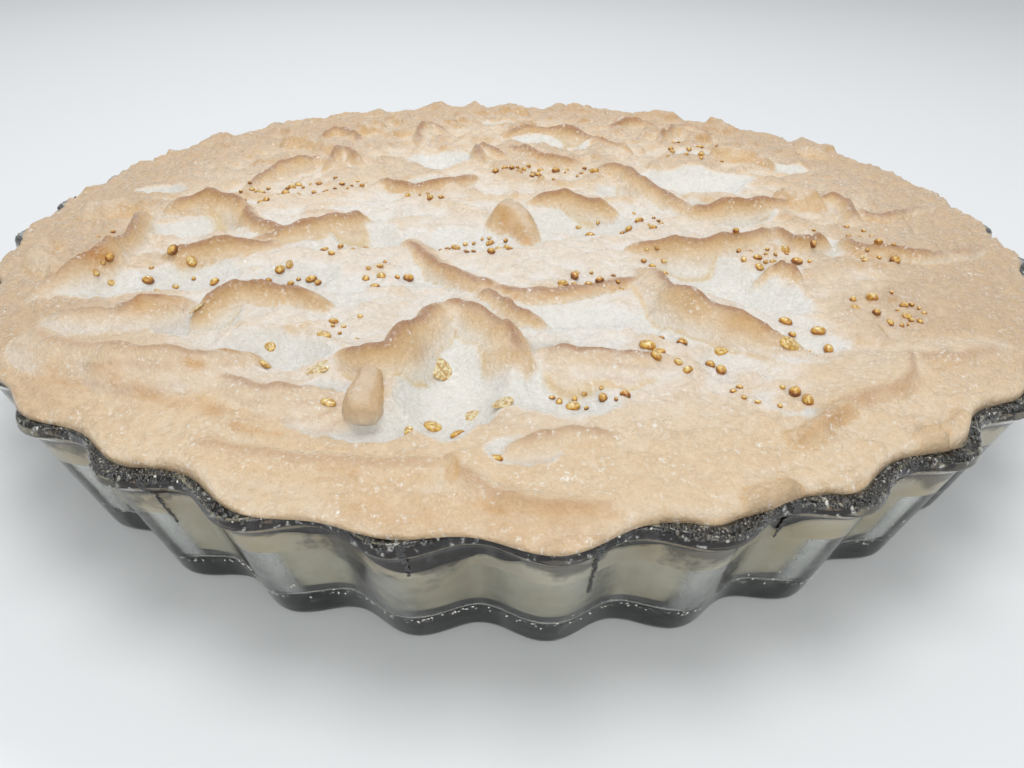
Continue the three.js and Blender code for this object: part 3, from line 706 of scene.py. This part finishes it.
def makeMeringueMaterial():
    # baked egg-white foam: chalk white where it was sheltered, tan on the crests, golden on steep faces
    # partly as painted shade
    material, add, shader = newMaterial("bakedMeringue")
    onPiece = {"Vector": add("TexCoord").outputs["Object"]}
    marks = {name: add("Attribute", attribute_name=name).outputs["Fac"]
             for name in ("browning", "goldenSlopesAndShade", "footShadeLine", "outline", "scorchAndShade")}
    # 6 mm patches of the oven's colour
    blotches = add("TexNoise", {"Scale": 1 / (6 * mm), "Detail": 6.0, "Roughness": 0.7}, onPiece)
    uneven = add("Math", {1: 0.4, 2: -0.2}, {0: blotches}, operation="MULTIPLY_ADD")
    baked = add("Math", links={0: marks["browning"], 1: uneven}, operation="ADD", use_clamp=True)
    colour = add("ValToRGB", links={"Fac": baked},
                 stops=((0.05, "#f2f0ea"), (0.3, "#f6efe6"), (0.62, "#f0dcc2"), (1.0, "#dabf9f")))
    golden = add("Math", links={0: marks["goldenSlopesAndShade"], 1: baked}, operation="MULTIPLY")
    # golden on steep faces, partly browning and partly painted shade; golden painted shade in the folds,
    # mauve painted shadow along the crests, caramel where it scorched and painted shade in deep folds
    for amount, tint in ((golden, "#f7e3b8"), (marks["footShadeLine"], "#f4dcae"),
                         (marks["outline"], "#d6bdae"), (marks["scorchAndShade"], "#e4b968")):
        colour = add("MixRGB", {"Color2": tint}, {"Fac": amount, "Color1": colour}, blend_type="MULTIPLY")
    # grains of sugar, drawn at 0.9 mm to show in the view, the brightest painted near-white as painted
    # glints
    crystals = add("TexNoise", {"Scale": 1 / (0.9 * mm), "Detail": 4.0, "Roughness": 0.7}, onPiece)
    speckle = add("ValToRGB", links={"Fac": crystals}, stops=((0.36, "#ece4d8"), (0.62, "#ffffff")))
    grainy = add("MixRGB", {"Fac": 0.45}, {"Color1": colour, "Color2": speckle}, blend_type="MULTIPLY")
    bright = add("MapRange", {"From Min": 0.56, "From Max": 0.66}, {"Value": crystals})
    patchy = add("MapRange", {"From Min": 0.46, "From Max": 0.6}, {"Value": blotches})
    glints = add("Math", links={0: bright, 1: patchy}, operation="MULTIPLY")
    # painted glints: the brightest grains, in patches, mixed toward white
    sparkling = add("MixRGB", {"Color2": "#fffaf2"}, {"Fac": glints, "Color1": grainy})
    # grain of the skin, drawn at 1.3 mm to show in the view
    grain = add("TexNoise", {"Scale": 1 / (1.3 * mm), "Detail": 5.0, "Roughness": 0.75}, onPiece)
    gloss = add("MapRange", {"From Min": 0.48, "From Max": 0.62, "To Min": 0.55, "To Max": 0.08},
                {"Value": grain})
    bump = add("Bump", {"Strength": 1.0, "Distance": 0.9 * mm}, {"Height": grain})
    # thin film of sugar syrup in patches, which glints
    syrupy = add("MapRange", {"From Min": 0.44, "From Max": 0.58, "To Max": 0.9}, {"Value": blotches})
    fillSockets(shader, {"Coat Roughness": 0.12},
                {"Base Color": sparkling, "Roughness": gloss, "Normal": bump,
                 "Coat Weight": syrupy, "Coat Normal": bump})
    return material


# body swept along a bent spine with rounded ends
def curlBody(start, bend, end, radii, sides=28, rings=24):
    start, bend, end = [np.array(place) + (0, 0, meringue["rimLine"]) for place in (start, bend, end)]
    across = np.cross(bend - start, end - start)
    across /= np.linalg.norm(across)
    along = np.repeat(np.arange(rings + 1) / rings, sides)[:, None]
    turn = np.tile(math.tau * np.arange(sides) / sides, rings + 1)[:, None]
    centre = mix(mix(start, bend, along), mix(bend, end, along), along)
    ahead = mix(bend - start, end - bend, along)
    aside = np.cross(ahead / np.linalg.norm(ahead, axis=1, keepdims=True), across)
    radius = mix(mix(radii[0], radii[1], along), mix(radii[1], radii[2], along), along)
    radius *= np.sqrt(np.maximum(0, 1 - np.abs(2 * along - 1) ** 4))
    knead = 1 + 0.3 * unevenness(3.0 * along + start[0], 1.6 * np.sin(turn + 1) + 5)
    knead += 0.14 * unevenness(8.0 * along, 3 * np.sin(turn) + 2 * np.cos(turn))
    points = centre + radius * knead * (np.cos(turn) * across + np.sin(turn) * aside)
    return points, tubeFaces(rings, sides)


# mean height round about each point, from averages over small cells
def surroundings(x, y, height, cell=2.0, spread=2):
    reach = meringue["reach"] + 8
    size = int(2 * reach / cell) + 2
    u, v = (x + reach) / cell, (y + reach) / cell
    index = np.floor(v).astype(int) * size + np.floor(u).astype(int)
    total = np.bincount(index, height, size * size).reshape(size, size)
    count = np.bincount(index, minlength=size * size).reshape(size, size).astype(float)
    for k in range(spread):
        total, count = [sum(np.roll(np.roll(grid, a, 0), b, 1) for a in (-1, 0, 1) for b in (-1, 0, 1))
                        for grid in (total, count)]
    mean = total / np.maximum(count, 1e-9)
    u, v = np.maximum(u - 0.5, 0), np.maximum(v - 0.5, 0)
    i, j = np.floor(u).astype(int), np.floor(v).astype(int)
    return mix(mix(mean[j, i], mean[j, i + 1], u - i), mix(mean[j + 1, i], mean[j + 1, i + 1], u - i), v - j)


# caramel-brown lines and patches in the folds, partly scorched sugar and partly painted shade in folds and
# recesses: start, bend and end, half width, strength
scorchAndShadeLines = [
    ((-27, -37), (-14, -67), (-4, -66), 0.8, 0.4), ((-7, -66), (11, -74), (30, -58), 0.7, 0.35),
    ((-80, -77), (-79, -72), (-72, -70), 2.2, 0.5), ((-107, -57), (-103, -53), (-98, -53), 2.6, 1.0),
    ((-62, -100), (-61, -101), (-60, -100), 0.9, 1.0), ((-57, -94), (-57, -95), (-55, -94), 0.8, 1.0),
    ((-50, -115), (-46, -118), (-41, -118), 0.7, 0.7), ((-93, -96), (-76, -103), (-54, -111), 1.7, 0.5),
    ((-34, -94), (-24, -104), (-15, -77), 1.0, 0.2), ((63, -107), (76, -103), (80, -97), 0.7, 0.35),
    ((36, -92), (40, -84), (54, -86), 2.2, 0.35), ((-32, -127), (-30, -127), (-26, -128), 0.6, 0.5),
    ((50, -119), (54, -116), (61, -110), 0.7, 0.6), ((85, -93), (90, -90), (95, -87), 0.6, 0.3),
    ((-3, -25), (0, -28), (3, -34), 1.3, 0.6), ((-91, -27), (-80, -30), (-70, -24), 1.0, 0.3),
    ((-62, -13), (-55, -16), (-50, -13), 1.0, 0.4), ((-24, -135), (-10, -139), (10, -140), 4.5, 0.3),
    ((-8, -134), (2, -137), (16, -136), 1.2, 0.5),
]


def scorchAndShadeMarks(x, y):
    marks = np.zeros(len(x))
    patchy = 0.75 + 0.7 * unevenness(x / 4 + 3, y / 4)
    for start, bend, end, width, strength in scorchAndShadeLines:
        away = alongCrest(x, y, start, bend, end, 8)[0]
        marks = np.maximum(marks, strength * patchy * np.exp(-(away / width) ** 2))
    return np.clip(marks, 0, 1)


def makeMeringue():
    count = meringue["rings"]
    turns, shares = [np.zeros(1)], [np.zeros(1)]
    for k in range(1, count + 1):
        turns.append(dish["fluteTurn"] + np.arange(6 * k) / (6 * k) * math.tau)
        shares.append(np.full(6 * k, k / count))
    turn, share = np.concatenate(turns), np.concatenate(shares)
    follow = meringue["edgeFollow"] * dish["fluteRim"] * fluteWave(turn)
    radius = (meringueEdge(turn) - meringue["edgeOver"]) * share + follow * share ** 9
    x, y = radius * np.sin(turn), -radius * np.cos(turn)
    top = meringueTop(x, y)
    lift = top["lift"] + meringueSkin(x, y, top)
    points = np.stack([x, y, meringue["rimLine"] + lift], 1)
    start = np.concatenate([[0, 1], 1 + np.cumsum(6 * np.arange(1, count + 1))])
    faces = [[0, 1 + k, 1 + (k + 1) % 6] for k in range(6)]
    for k in range(1, count):
        inner, outer = start[k], start[k + 1]
        for sector in range(6):
            j = np.arange(k + 1)
            out0 = outer + (sector * (k + 1) + j) % (6 * (k + 1))
            out1 = outer + (sector * (k + 1) + j + 1) % (6 * (k + 1))
            in0 = inner + (sector * k + j) % (6 * k)
            faces += np.stack([out0, out1, in0], 1).tolist()
            faces += np.stack([in0[:-1], out1[:-1], in0[1:]], 1).tolist()
    # edge, folded under to the inside of the glass
    last = np.arange(start[count], start[count] + 6 * count)
    turn = turns[-1]
    wave = dish["fluteRim"] * fluteWave(turn)
    low = filling["top"]
    # radius and height of each ring
    under = [
        (meringueEdge(turn) + meringue["edgeFollow"] * wave, dish["height"] + 0.2),
        (dish["rimInner"] - 0.3 + wave, dish["height"] + 0.1),
        (innerWall(low) + 0.1 + wave, low),
    ]
    for ringRadius, height in under:
        points = np.vstack([points, around(turn, ringRadius, height)])
        fresh = np.arange(len(points) - 6 * count, len(points))
        faces += np.stack([last, fresh, np.roll(fresh, -1), np.roll(last, -1)], 1).tolist()
        last = fresh
    points = np.vstack([points, [0, 0, low]])
    faces += [[len(points) - 1, int(b), int(a)] for a, b in zip(last, np.roll(last, -1))]
    for curl in curls:
        curlPoints, curlFaces = curlBody(*curl)
        faces += (len(points) + curlFaces).tolist()
        points = np.vstack([points, curlPoints])
    piece = addPiece("meringueTopping", points, faces, makeMeringueMaterial(), "meringue")
    bake = meringue["bake"]
    browning = top["colour"] + bake["proud"] * np.clip(lift - surroundings(x, y, lift), -2, 2)
    restX, restY, restZ = points[len(x):].T
    curlColour = mix(*bake["curl"], rise(restZ - meringue["rimLine"], *bake["curlPlace"]))
    restColour = np.where(np.hypot(restX, restY) < 120, curlColour, bake["curl"][1])
    addPointValue(piece, "browning", np.concatenate([browning, restColour]))
    marks = {"footShadeLine": top["footShadeLine"], "outline": top["outline"], "scorchAndShade": scorchAndShadeMarks(x, y)}
    for name, values in marks.items():
        addPointValue(piece, name, np.concatenate([values, 0 * restX]))
    # steep faces turned golden, partly browning and partly painted shade, and golden painted shade on the
    # front of the edge
    normals = np.zeros(3 * len(points), np.float32)
    piece.data.vertex_normals.foreach_get("vector", normals)
    radius = np.hypot(points[:, 0], points[:, 1])
    out, near = bake["frontPlace"]
    frontEdgeShade = bake["frontEdgeShade"] * rise(radius, *out) * mix(0.2, 1, rise(-points[:, 1], *near))
    steep = rise(-normals[2::3], *bake["steep"]) * (1 - 0.5 * rise(radius, 108, 118))
    addPointValue(piece, "goldenSlopesAndShade", np.maximum(steep, frontEdgeShade))


# syrup that wept out of the meringue in baking
syrup = {
    "largest": 1.35,
    "smallest": 0.5,
    "flat": 0.85,
    "apart": 0.2,
    "tone": (0.25, 0.7),  # how deep its amber is
    "slopeStep": 2.0,  # over which the slope under a bead is read
    "slopeMost": 0.7,
    "sides": 14,
    "tiers": 8,
}

# where the beads gather: across, away, spread across, spread away, how many
beadSpots = [
    (-108, -28, 3, 2, 2), (-98, -54, 2, 2, 3), (-80, -54, 7, 6, 8), (-52, -55, 5, 6, 9), (-43, -40, 4, 7, 6),
    (-30, -56, 4, 5, 6), (-10, -35, 8, 7, 14), (28, -18, 9, 8, 10), (16, -60, 8, 4, 9), (34, -92, 8, 5, 9),
    (14, -105, 6, 3, 6), (-35, -83, 4, 4, 5), (65, -41, 9, 6, 12), (61, -81, 4, 5, 5), (50, -105, 7, 3, 7),
    (84, -68, 6, 5, 12), (94, -40, 6, 4, 6), (61, 52, 9, 9, 9), (10, 26, 12, 5, 12), (-77, 1, 5, 7, 6),
    (-59, 9, 11, 6, 12), (-27, 0, 4, 4, 3), (35, -46, 3, 4, 4), (18, 68, 15, 7, 4), (89, -24, 6, 3, 4),
]

# single drops and thin puddles: across, away, radius, how flat
drops = [
    (-14, -93, 2.8, 0.12), (-8, -106, 2.0, 0.14), (-2, -109, 2.2, 0.14), (-15, -110, 1.7, 0.5),
    (-19, -113, 1.1, 0.5), (-22, -118, 1.3, 0.4), (-10, -116, 1.3, 0.6), (-3, -123, 1.1, 0.6),
    (-34, -109, 1.1, 0.4), (-51, -85, 1.2, 0.4), (-50, -93, 1.3, 0.4), (-38, -98, 2.6, 0.12),
    (-69, -74, 2.2, 0.12), (-84, -20, 2.2, 0.12), (56, -88, 2.0, 0.4),
    (27, -89, 1.4, 0.6), (29, -91, 1.4, 0.6),
]


def makeBeads():
    beads = [(x, y, size, flat, 0.9 * flat - 0.1) for x, y, size, flat in drops]
    for spot, (across, away, spreadAcross, spreadAway, count) in enumerate(beadSpots):
        for k in range(spot * 40, spot * 40 + 2 * count):
            turn, reach = scatter(k + 500) * math.tau, 1.4 * math.sqrt(scatter(k + 600))
            x = across + spreadAcross * reach * math.cos(turn)
            y = away + spreadAway * reach * math.sin(turn)
            size = mix(syrup["smallest"], syrup["largest"], scatter(k + 700) ** 2.2)
            clear = size + syrup["apart"]
            if all(math.hypot(x - other[0], y - other[1]) > clear + other[2] for other in beads):
                beads.append((x, y, size, syrup["flat"], mix(*syrup["tone"], scatter(k + 800))))
    return beads


def makeSyrupMaterial():
    # thick sugar syrup: clear amber, pale where it is thin and orange-brown where it is deep, with painted
    # shade round the sides of each bead and a painted highlight on top
    material, add, shader = newMaterial("amberSugarSyrup")
    # the depth value holds the amber's tone together with painted shade at each bead's sides
    depth = add("Attribute", attribute_name="depth")
    amber = ((0.0, "#f7e9bd"), (0.3, "#f7dc8c"), (0.6, "#efbf55"), (0.88, "#bd7c22"), (1.0, "#8f5a14"))
    colours = add("ValToRGB", links={"Fac": depth.outputs["Fac"]}, stops=amber)
    onPiece = {"Vector": add("TexCoord").outputs["Object"]}
    # painted highlights and shade inside, 0.7 mm patches
    sparkle = add("TexNoise", {"Scale": 1 / (0.7 * mm), "Detail": 2.0}, onPiece)
    patches = add("ValToRGB", links={"Fac": sparkle}, stops=((0.42, "#c59a48"), (0.56, "#ffffff")))
    gold = add("MixRGB", {"Fac": 0.8}, {"Color1": colours, "Color2": patches}, blend_type="MULTIPLY")
    fillSockets(shader, {"Transmission Weight": 0.25, "IOR": 1.47, "Roughness": 0.04,
                         "Coat Weight": 0.6, "Coat Roughness": 0.03}, {"Base Color": gold})
    return material


# round, slightly uneven body lying on a surface that faces up, with the tilt of each point away from up
def beadBody(centre, up, size, flat, number, sides, tiers):
    up = up / np.linalg.norm(up)
    level = np.cross((0.1, 1, 0.05), up)
    level /= np.linalg.norm(level)
    ahead = np.cross(up, level)
    tilt = np.repeat(math.pi * np.arange(tiers + 1) / tiers, sides)
    turn = np.tile(math.tau * np.arange(sides) / sides, tiers + 1)
    wobble = 1 + 0.12 * np.sin(2 * turn + number) + 0.1 * (1 - flat) * np.sin(3 * turn + 2 * number)
    out = size * np.sin(tilt) * wobble
    stretch = mix(0.85, 1.25, scatter(number + 900))
    points = centre + np.outer(out * stretch * np.cos(turn), level) + np.outer(out * np.sin(turn), ahead)
    points += np.outer(size * flat * (np.cos(tilt) + 0.15), up)
    return points, tubeFaces(tiers, sides)[:, [0, 3, 2, 1]], tilt


def makeSyrup():
    beads = makeBeads()
    x, y = np.array([bead[0] for bead in beads]), np.array([bead[1] for bead in beads])
    top = meringueTop(x, y)
    height = meringue["rimLine"] + top["lift"] + meringueSkin(x, y, top)
    step, most = syrup["slopeStep"], syrup["slopeMost"]
    slopeX = (meringueTop(x + step, y)["lift"] - meringueTop(x - step, y)["lift"]) / (2 * step)
    slopeY = (meringueTop(x, y + step)["lift"] - meringueTop(x, y - step)["lift"]) / (2 * step)
    ups = np.stack([-np.clip(slopeX, -most, most), -np.clip(slopeY, -most, most), np.ones(len(x))], 1)
    points, faces, amberToneAndShade = [], [], []
    for number, (across, away, size, flat, tone) in enumerate(beads):
        centre = np.array([across, away, height[number]])
        *body, tilt = beadBody(centre, ups[number], size, flat, number, syrup["sides"], syrup["tiers"])
        addBody(points, faces, *body)
        # amber tone, darker round the sides of each bead as painted shade and paler on top as a painted
        # highlight
        amberToneAndShade.extend(tone + (0.1 + 0.7 * flat) * np.sin(tilt) ** 4 - 0.25 * flat)
    piece = addPiece("syrupBeads", points, faces, makeSyrupMaterial())
    addPointValue(piece, "depth", amberToneAndShade)


# sugar that boiled over and burnt on where the rim is bare, and white flecks low on the wall as painted
# glints
residue = {
    "flakes": 3200,
    "largest": 0.55,
    "smallest": 0.15,
    "flat": 0.4,
    "sides": 6,
    "tiers": 3,
    "onRim": 0.5,  # how far down the rim the flakes lie, on the scale of rimSurface
    "perRun": 160,
    "runSize": 0.3,
    "runTone": 0.2,
    "runTop": 0.4,
    "runWidth": 0.7,  # degrees of the rim
    "glintFlecks": 1400,
    "glintFleckSize": (0.1, 0.28),
    "glintFleckLine": 1.76,
}

# bare stretches of the rim: turn and half spread in degrees, share of the flakes
bareRims = [
    (-29, 9, 0.22), (14, 7, 0.18), (27, 8, 0.2), (43, 6, 0.1), (-10, 12, 0.12), (-62, 9, 0.06),
    (-95, 16, 0.06), (90, 40, 0.06),
]

# runs down the outside of the wall: turn in degrees, how far down the wall
runs = [(5.6, 1.42), (-7, 1.15), (20, 1.2), (-27, 1.3), (31, 1.25)]


# outside of the rim, from its flat top at 0 to the wall at 1 and the foot at 2
def rimSurface(turn, share):
    places = [0, 0.35, 0.55, 0.75, 1, 2]
    radius = np.interp(share, places, [137.4, 139.7, 140.3, 140.1, 138.0, 128.8])
    height = np.interp(share, places, [34.0, 34.0, 33.0, 31.6, 28.6, 1.0])
    return around(turn, radius + fluteSwing(height) * fluteWave(turn), height)


def makeBurntSugar():
    # burnt sugar: brown-black glassy flakes, and near-white flecks as painted glints
    material, add, shader = newMaterial("burntSugar")
    tone = add("Attribute", attribute_name="tone")
    colours = add("ValToRGB", links={"Fac": tone.outputs["Fac"]},
                  stops=((0.0, "#120f0c"), (0.6, "#29241e"), (0.9, "#6f695d"), (1.0, "#e6e4da")))
    fillSockets(shader, {"Roughness": 0.1, "Coat Weight": 1.0}, {"Base Color": colours})
    return material


# turn, place on the rim or wall, size and tone of every flake
def residuePlaces():
    places = []
    shares = np.cumsum([share for centre, spread, share in bareRims])
    for k in range(residue["flakes"]):
        centre, spread, share = bareRims[int(np.searchsorted(shares, scatter(k + 0.3) * shares[-1]))]
        turn = math.radians(centre + spread * (scatter(k + 2000) + scatter(k + 3000) - 1) * 1.4)
        size = mix(residue["smallest"], residue["largest"], scatter(k + 4000) ** 2.5)
        places.append((turn, residue["onRim"] * scatter(k + 5000) ** 1.2, size, scatter(k + 6000)))
    for number, (centre, low) in enumerate(runs):
        for k in range(number * 200, number * 200 + residue["perRun"]):
            share = mix(residue["runTop"], low, scatter(k + 7000))
            turn = centre + residue["runWidth"] * (1.2 - share / low) * (scatter(k + 8000) - 0.5)
            places.append((math.radians(turn), share, residue["runSize"], residue["runTone"]))
    # white flecks round the wall just above the foot, painted glints
    for k in range(residue["glintFlecks"]):
        turn = math.tau * scatter(k + 9000)
        thin = 1 - ease(0.5 + 1.5 * float(unevenness(turn * 12, 0.5)))
        share = residue["glintFleckLine"] + 0.05 * (scatter(k + 10000) - 0.5)
        share -= 0.25 * thin * scatter(k + 11000) ** 4
        places.append((turn, share, mix(*residue["glintFleckSize"], scatter(k + 12000) ** 2), 1.0))
    return places


def makeResidue():
    points, faces, tones = [], [], []
    step = 0.03
    for number, (turn, share, size, tone) in enumerate(residuePlaces()):
        here, further = rimSurface(turn, share), rimSurface(turn, min(1, share + step))
        along = further - here if share < 1 - step else here - rimSurface(turn, share - step)
        up = np.cross(along, [math.cos(turn), math.sin(turn), 0])
        body = beadBody(here, up, size, residue["flat"], number, residue["sides"], residue["tiers"])
        addBody(points, faces, *body[:2])
        tones += [tone ** 3] * len(body[0])
    piece = addPiece("burntSugarFlakes", points, faces, makeBurntSugar())
    addPointValue(piece, "tone", tones)


makeDish()
makeCrust()
makeFilling()
makeMeringue()
makeSyrup()
makeResidue()


# floor, light and camera
studio = {
    "floorSize": 3.0,
    "floorColour": "#e2e4e5",
    "roomColour": "#eef1f4",
    "roomStrength": 0.62,
    "aim": (0, 0, 0.03),  # where the lights point
}

# name, place in metres, width, power
stageLights = [
    ("softboxAbove", (0.0, 0.0, 0.9), 0.5, 3.6),
    ("softboxFront", (0.1, -1.1, 0.65), 0.8, 5.4),
    ("smallLamp", (-0.2, 0.8, 0.75), 0.08, 1.5),
]


def makeStage():
    mesh = bpy.data.meshes.new("tableTop")
    size = studio["floorSize"]
    corners = [(-size, -size, 0), (size, -size, 0), (size, size, 0), (-size, size, 0)]
    mesh.from_pydata(corners, [], [(0, 1, 2, 3)])
    floor = bpy.data.objects.new("tableTop", mesh)
    bpy.context.scene.collection.objects.link(floor)
    material, _, shader = newMaterial("paleTable")
    fillSockets(shader, {"Base Color": studio["floorColour"], "Roughness": 0.6})
    mesh.materials.append(material)


def makeLights():
    for name, place, width, power in stageLights:
        lamp = bpy.data.lights.new(name, "AREA")
        lamp.size = width
        lamp.energy = power
        light = bpy.data.objects.new(name, lamp)
        light.location = place
        light.rotation_euler = (Vector(studio["aim"]) - Vector(place)).to_track_quat("-Z", "Y").to_euler()
        bpy.context.scene.collection.objects.link(light)
    world = bpy.data.worlds.new("studioRoom")
    world.use_nodes = True
    fillSockets(world.node_tree.nodes["Background"],
                {"Color": studio["roomColour"], "Strength": studio["roomStrength"]})
    bpy.context.scene.world = world


view = {
    "place": (-0.7, -235.5, 121.2),  # mm
    "yaw": -0.002,
    "pitch": 0.5494,
    "roll": 0.0117,
    "focalPixels": 822.8,
    "imageWidth": 1024,
    "sensorWidth": 36.0,
    "nearest": 0.005,  # metres
}


def makeCamera():
    lens = bpy.data.cameras.new("photoView")
    lens.sensor_width = view["sensorWidth"]
    lens.lens = view["focalPixels"] * view["sensorWidth"] / view["imageWidth"]
    lens.clip_start = view["nearest"]
    camera = bpy.data.objects.new("photoView", lens)
    camera.matrix_world = Matrix.Translation(Vector(view["place"]) * mm)
    for angle, axis in ((view["yaw"], "Z"), (math.pi / 2 - view["pitch"], "X"), (view["roll"], "Z")):
        camera.matrix_world = camera.matrix_world @ Matrix.Rotation(angle, 4, axis)
    bpy.context.scene.collection.objects.link(camera)
    bpy.context.scene.camera = camera


makeStage()
makeLights()
makeCamera()
bpy.context.scene.view_settings.view_transform = "Standard"
print("stage, lights and camera ready")
